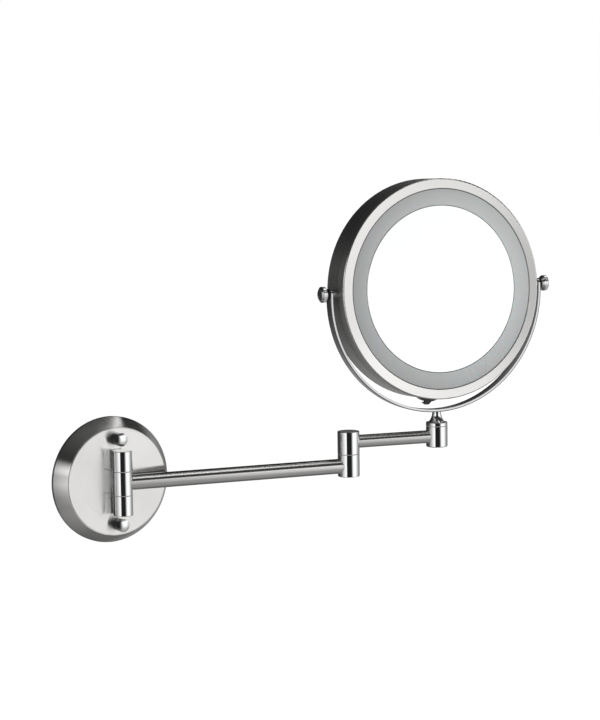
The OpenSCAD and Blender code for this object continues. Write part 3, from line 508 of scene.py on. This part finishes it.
# ---- The pieces ----
class ARM_MIRROR_OT_wall_cover(bpy.types.Operator):
    """Finishes the dished wall cover and the bracket behind it"""

    bl_idname = "arm_mirror.wall_cover"
    bl_label = "Wall cover"

    def execute(self, context):
        metal = settings("arm_mirror_metal")
        # Nickel-plated steel, spun and brushed in rings; the flat front is buffed to a soft mirror
        low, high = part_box("wall_cover")
        cover_r = (high.x - low.x) / 2
        face_radius = cover_r - COVER_BEVEL
        cover, tree, shader, radius = brushed_round(
            "spun_nickel_cover", metal.nickel, (0, 0, 0), ROOM, metal.brush_spacing, 0.22,
            strength=1.0, slope=[(face_radius, cover_r, 0.25, -0.2)])
        on_face = add(tree, "Math", {0: radius, 1: face_radius}, operation="LESS_THAN").outputs[0]
        brushed = shader.inputs["Roughness"].links[0].from_socket
        rough = add(tree, "Mix", {0: on_face, 2: brushed, 3: 0.21}).outputs[0]
        tree.links.new(rough, shader.inputs["Roughness"])
        dress(cover, "wall_cover")
        # Zinc-plated pressed steel: soft grey gloss with a faint spangle
        dress(plated("zinc_plated_steel", metal.zinc, 0.38, 1.5 * MM), "wall_bracket",
              "bracket_studs")
        return {"FINISHED"}


class ARM_MIRROR_OT_hinges(bpy.types.Operator):
    """Finishes the cap nuts, knuckles, washers and bolts"""

    bl_idname = "arm_mirror.hinges"
    bl_label = "Cap nuts and hinges"

    def execute(self, context):
        metal = settings("arm_mirror_metal")
        low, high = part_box("cap_nuts")
        nut_r = (high.x - low.x) / 2
        top = Vector((0, 0, high.z - nut_r))
        # Chrome over turned brass: mirror bright, with tool rings on the ends
        dress(turned_chrome("turned_chrome_nut", metal.chrome, top, ROOM, 0.11, 0.8, True),
              "cap_nuts")
        dress(turned_chrome("turned_chrome_hinge", metal.chrome, HINGE, UP, 0.11),
              "hinge_knuckle_top", "hinge_knuckle_bottom", "arm_knuckle")
        dress(turned_chrome("turned_chrome_elbow", metal.chrome, ELBOW, UP),
              "elbow_lower_knuckle", "elbow_upper_knuckle")
        dress(turned_chrome("turned_chrome_wrist", metal.chrome, WRIST, UP), "wrist_socket")
        # Zinc-plated machine screws
        dress(plated("zinc_plated_screws", metal.zinc, 0.32, 0.8 * MM),
              "knuckle_screws", "wall_hinge_bolt", "elbow_bolt", "wrist_retainer", "strap_screw",
              "carrier_screws", "battery_springs", "battery_contacts")
        # Natural nylon: milky, with a waxy sheen; black nylon where the thumb screws press
        dress(moulded("natural_nylon", linear("#c9c6bd"), 0.5, 0.4 * MM, 0.00001, 1.53),
              "wall_hinge_washers", "elbow_washer", "wrist_washer")
        dress(moulded("black_nylon", settings("arm_mirror_plastic").black, 0.55, 0.4 * MM, 0.00001,
                      1.53), "pivot_washers")
        return {"FINISHED"}


class ARM_MIRROR_OT_arms(bpy.types.Operator):
    """Finishes the two tubes"""

    bl_idname = "arm_mirror.arms"
    bl_label = "Arm tubes"

    def execute(self, context):
        metal = settings("arm_mirror_metal")
        # Nickel-plated tube, brushed end to end
        dress(brushed_along("drawn_nickel_long", metal.nickel, LONG_ARM, metal.brush_spacing),
              "long_arm_tube")
        dress(brushed_along("drawn_nickel_short", metal.nickel, SHORT_ARM, metal.brush_spacing),
              "short_arm_tube")
        return {"FINISHED"}


class ARM_MIRROR_OT_yoke(bpy.types.Operator):
    """Finishes the swivel post, the strap and the thumb screws"""

    bl_idname = "arm_mirror.yoke"
    bl_label = "Yoke and thumb screws"

    def execute(self, context):
        metal = settings("arm_mirror_metal")
        across = TILT.cross(UP)
        low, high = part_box("yoke_strap")
        centre = HEAD - STRAP_DROP * UP
        # Chrome-plated post, turned
        dress(turned_chrome("turned_chrome_post", metal.chrome, WRIST, UP, 0.035), "swivel_post")
        # Chrome-plated flat bar, rolled to an arc and brushed lightly along it
        # Painted shade: the strap's colour is 0.8 of the chrome's, with a painted dark line just
        # inside its edge
        shaded_strap_chrome = tuple(0.8 * c for c in metal.chrome)
        dress(turned_chrome("rolled_chrome_strap", shaded_strap_chrome, centre, across, 0.2,
                            rim=centre.z - low.z), "yoke_strap")
        dress(turned_chrome("turned_chrome_pivot", metal.chrome, HEAD, TILT, 0.1),
              "thumb_screw_left", "thumb_screw_right")
        # Satin chrome, softer than the thumb screws; darker by painted shade, its colour being half
        # the chrome's
        dress(turned_chrome("satin_chrome_spacers", tuple(0.5 * c for c in metal.chrome), HEAD,
                            TILT, 0.3),
              "pivot_spacers")
        # Bare brass: warm and slightly dull
        dress(plated("bare_brass", metal.brass, 0.35, 1 * MM), "pivot_inserts")
        return {"FINISHED"}


class ARM_MIRROR_OT_head_shell(bpy.types.Operator):
    """Finishes the bezels, the side band and the frame inside"""

    bl_idname = "arm_mirror.head_shell"
    bl_label = "Head shell"

    def execute(self, context):
        metal = settings("arm_mirror_metal")
        # Nickel-plated spinnings, brushed in rings
        for name in ("front_bezel", "rear_bezel"):
            low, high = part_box(name)
            rim = (high.z - low.z) / 2
            bezel, tree, shader, radius = brushed_round(
                "spun_nickel_" + name, metal.nickel, HEAD, FACING, metal.brush_spacing, 0.24,
                0.000004,
                slope=[(rim - BEZEL_ROUND - BEZEL_FACE, rim - BEZEL_ROUND, 0.22, 0.22)])
            # The side is a little duller than the face
            on_side = add(tree, "Math", {0: radius, 1: rim - 0.4 * MM},
                          operation="GREATER_THAN").outputs[0]
            brushed = shader.inputs["Roughness"].links[0].from_socket
            rough = add(tree, "Mix", {0: on_side, 2: brushed, 3: 0.3}).outputs[0]
            tree.links.new(rough, shader.inputs["Roughness"])
            dress(bezel, name)
        dress(brushed_round("rolled_nickel_band", metal.nickel, HEAD, FACING, metal.brush_spacing,
                            0.26, 0.000003)[0], "head_band")
        # Moulded ABS: matt mid grey
        dress(moulded("grey_abs", settings("arm_mirror_plastic").grey, 0.5, 0.5 * MM, 0.00002,
                      1.53),
              "head_frame", "battery_holder")
        return {"FINISHED"}


class ARM_MIRROR_OT_mirrors(bpy.types.Operator):
    """Finishes the front mirror and the magnifying mirror"""

    bl_idname = "arm_mirror.mirrors"
    bl_label = "Mirrors"

    def execute(self, context):
        glass = settings("arm_mirror_glass")
        for name in ("front_mirror", "magnifying_mirror"):
            # Silvered float glass: a full mirror, with a grey line where the ground edge shows
            made, tree, shader = material("silvered_glass_" + name, glass.silver, Metallic=1.0,
                                          Roughness=0.012)
            low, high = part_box(name)
            radius = around(tree, HEAD, FACING)[0]
            rim = (high.z - low.z) / 2 - glass.edge_band
            inside = add(tree, "MapRange", {"Value": radius, "From Min": rim,
                                            "From Max": rim + 0.0003,
                         "To Min": 1.0, "To Max": 0.45}).outputs[0]
            dust = add(tree, "TexNoise", {"Vector": place(tree), "Scale": 25.0,
                       "Detail": 3.0}).outputs["Fac"]
            clean = spread(tree, dust, 0.99, 1.0)
            level = add(tree, "Math", {0: inside, 1: clean}, operation="MULTIPLY").outputs[0]
            colour = add(tree, "VectorMath", {0: glass.silver, "Scale": level},
                         operation="SCALE").outputs[0]
            tree.links.new(colour, shader.inputs["Base Color"])
            tree.links.new(spread(tree, dust, 0.008, 0.02), shader.inputs["Roughness"])
            dress(made, name)
        # Closed-cell foam tape: matt white with small cells
        dress(moulded("foam_tape", linear("#e9e7e2"), 0.9, 0.6 * MM, 0.0001), "mirror_pad")
        # Moulded polystyrene: glossy white
        dress(moulded("white_polystyrene", settings("arm_mirror_plastic").white, 0.35, 0.5 * MM,
                      0.00001,
                      1.59), "mirror_carrier", "rear_carrier")
        return {"FINISHED"}


class ARM_MIRROR_OT_light(bpy.types.Operator):
    """Finishes the frosted ring and the light board behind it"""

    bl_idname = "arm_mirror.light"
    bl_label = "Light ring"

    def execute(self, context):
        glass = settings("arm_mirror_glass")
        # Sand-blasted acrylic: a milky grey that scatters light below its surface, under painted
        # light and shade
        made, tree, shader = material("frosted_acrylic", glass.frosted, IOR=1.49, **{
            "Subsurface Weight": 0.25, "Subsurface Scale": 0.004, "Coat Weight": 0.0})
        grit = add(tree, "TexNoise", {"Vector": place(tree), "Scale": 1 / (0.5 * MM),
                   "Detail": 2.0}).outputs["Fac"]
        radius = around(tree, HEAD, FACING)[0]
        low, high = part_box("light_ring")
        outer = (high.z - low.z) / 2
        # Painted light and shade: lighter towards the mirror, darker towards the outer edge where
        # the ring goes under the bezel
        shade = add(tree, "MapRange", {"Value": radius, "From Min": outer - 15 * MM,
                    "From Max": outer - 1.0 * MM, "To Min": 1.1, "To Max": 0.9}).outputs[0]
        # Stands in for the light that reaches one side of the ring more than the other
        offset = add(tree, "VectorMath", {0: place(tree), 1: HEAD}, operation="SUBTRACT").outputs[0]
        side = add(tree, "VectorMath", {0: offset, 1: TILT - 0.2 * UP},
                   operation="DOT_PRODUCT").outputs["Value"]
        side = add(tree, "MapRange", {"Value": side, "From Min": -outer, "From Max": outer,
                   "To Min": 0.9, "To Max": 1.3}).outputs[0]
        shade = add(tree, "Math", {0: shade, 1: side}, operation="MULTIPLY").outputs[0]
        # A dark line stands in for the shadow in the gap beside the bezel
        gap = add(tree, "MapRange", {"Value": radius, "From Min": LIGHT_OPENING - 0.8 * MM,
                  "From Max": LIGHT_OPENING - 0.4 * MM, "To Min": 1.0, "To Max": 0.25}).outputs[0]
        shade = add(tree, "Math", {0: shade, 1: gap}, operation="MULTIPLY").outputs[0]
        colour = add(tree, "VectorMath", {0: glass.frosted, "Scale": shade},
                     operation="SCALE").outputs[0]
        tree.links.new(colour, shader.inputs["Base Color"])
        tree.links.new(spread(tree, grit, 0.5, 0.62), shader.inputs["Roughness"])
        tree.links.new(relief(tree, grit, 0.00003), shader.inputs["Normal"])
        dress(made, "light_ring")
        # Glass-fibre board under white solder mask, and phosphor-filled silicone on the chips
        dress(moulded("solder_mask", linear("#dfe4dc"), 0.4, 0.3 * MM, 0.00001), "led_board")
        dress(moulded("phosphor_silicone", linear("#e8d36a"), 0.35, 0.2 * MM, 0.00001, 1.41),
              "led_chips")
        return {"FINISHED"}


class ARM_MIRROR_OT_power(bpy.types.Operator):
    """Finishes the batteries, the wires and the switch"""

    bl_idname = "arm_mirror.power"
    bl_label = "Batteries and switch"

    def execute(self, context):
        plastic = settings("arm_mirror_plastic")
        # Moulded black ABS: satin, with a fine grain
        dress(moulded("black_abs", plastic.black, 0.38, 0.5 * MM, 0.00003, 1.53),
              "switch_body", "switch_surround", "switch_lever")
        # Printed shrink sleeve and soft PVC insulation
        dress(moulded("battery_sleeve", linear("#33566f"), 0.25, 0.8 * MM, 0.00001), "batteries")
        dress(moulded("wire_pvc", linear("#9c2a24"), 0.4, 0.5 * MM, 0.00001), "led_wires")
        return {"FINISHED"}


class ARM_MIRROR_OT_seams(bpy.types.Operator):
    """Runs a fine braze fillet around each end of both tubes"""

    bl_idname = "arm_mirror.seams"
    bl_label = "Braze seams"

    def execute(self, context):
        seam = settings("arm_mirror_seams")
        metal = settings("arm_mirror_metal")
        # Silver braze under the plating: a soft bright line
        braze = plated("silver_braze", metal.nickel, 0.3, 0.6 * MM)
        for name, tube, body, start, end, knuckles in (
                ("long_arm", "long_arm_tube", "long_arm", HINGE, ELBOW,
                 ("arm_knuckle", "elbow_lower_knuckle")),
                ("short_arm", "short_arm_tube", "short_arm", ELBOW, WRIST,
                 ("elbow_upper_knuckle", "wrist_socket"))):
            low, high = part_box(tube)
            level = (low.z + high.z) / 2
            tube_r = (high.z - low.z) / 2
            along = Vector((end.x - start.x, end.y - start.y, 0)).normalized()
            side = UP.cross(along)
            for here, way, knuckle in ((start, along, knuckles[0]), (end, -along, knuckles[1])):
                self.fillet(f"{name}_fillet_{knuckle}", body, braze, seam,
                            Vector((here.x, here.y, level)), way, side, tube_r,
                            KNUCKLE_RADIUS[knuckle])
        return {"FINISHED"}

    def fillet(self, name, body, finish, seam, centre, way, side, tube_r, knuckle_r):
        """A thin bead where a tube meets a round knuckle."""
        around_seam, rings, sides = seam.steps, [], 8
        for i in range(around_seam):
            a = math.tau * i / around_seam
            out = side * math.cos(a) + UP * math.sin(a)
            across = tube_r * math.cos(a)
            reach = math.sqrt(knuckle_r**2 - across**2)
            middle = centre + out * tube_r + way * reach
            rings.append([middle + seam.fillet * (out * math.cos(b) + way * math.sin(b))
                          for b in (math.tau * k / sides for k in range(sides))])
        points = [p for ring in rings for p in ring]
        faces = [((i * sides + k), (i * sides + (k + 1) % sides),
                  ((i + 1) % around_seam) * sides + (k + 1) % sides,
                  ((i + 1) % around_seam) * sides + k)
                 for i in range(around_seam) for k in range(sides)]
        mesh = bpy.data.meshes.new(name)
        mesh.from_pydata(points, [], faces)
        mesh.shade_smooth()
        piece = bpy.data.objects.new(name, mesh)
        bpy.context.scene.collection.objects.link(piece)
        piece.data.materials.append(finish)
        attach(piece, body)


# Radius of each knuckle that a tube meets
KNUCKLE_RADIUS = {"arm_knuckle": 7.95 * MM, "elbow_lower_knuckle": 9 * MM,
                  "elbow_upper_knuckle": 9 * MM, "wrist_socket": 8.9 * MM}


class ARM_MIRROR_PT_panel(bpy.types.Panel):
    """Sizes, colours and pieces of the mirror"""

    bl_idname = "ARM_MIRROR_PT_panel"
    bl_label = "Arm Mirror"
    bl_space_type = "VIEW_3D"
    bl_region_type = "UI"
    bl_category = "Arm Mirror"

    def draw(self, context):
        for group in GROUPS:
            box = self.layout.box()
            values = getattr(context.scene, group)
            for name in values.bl_rna.properties.keys():
                if name not in ("rna_type", "name"):
                    box.prop(values, name)
        for step in STEPS:
            self.layout.operator(step.bl_idname)


GROUPS = {"arm_mirror_metal": MetalSettings, "arm_mirror_glass": GlassSettings,
          "arm_mirror_plastic": PlasticSettings, "arm_mirror_studio": StudioSettings,
          "arm_mirror_seams": SeamSettings}
STEPS = (ARM_MIRROR_OT_stage, ARM_MIRROR_OT_wall_cover, ARM_MIRROR_OT_hinges, ARM_MIRROR_OT_arms,
         ARM_MIRROR_OT_yoke, ARM_MIRROR_OT_head_shell, ARM_MIRROR_OT_mirrors, ARM_MIRROR_OT_light,
         ARM_MIRROR_OT_power, ARM_MIRROR_OT_seams)


def register():
    for made in (*GROUPS.values(), *STEPS, ARM_MIRROR_PT_panel):
        bpy.utils.register_class(made)
    for name, group in GROUPS.items():
        setattr(bpy.types.Scene, name, PointerProperty(type=group))


def unregister():
    for name in GROUPS:
        delattr(bpy.types.Scene, name)
    for made in reversed((*GROUPS.values(), *STEPS, ARM_MIRROR_PT_panel)):
        bpy.utils.unregister_class(made)


def main():
    register()
    for step in STEPS:
        group, name = step.bl_idname.split(".")
        getattr(getattr(bpy.ops, group), name)()


if __name__ == "__main__":
    main()
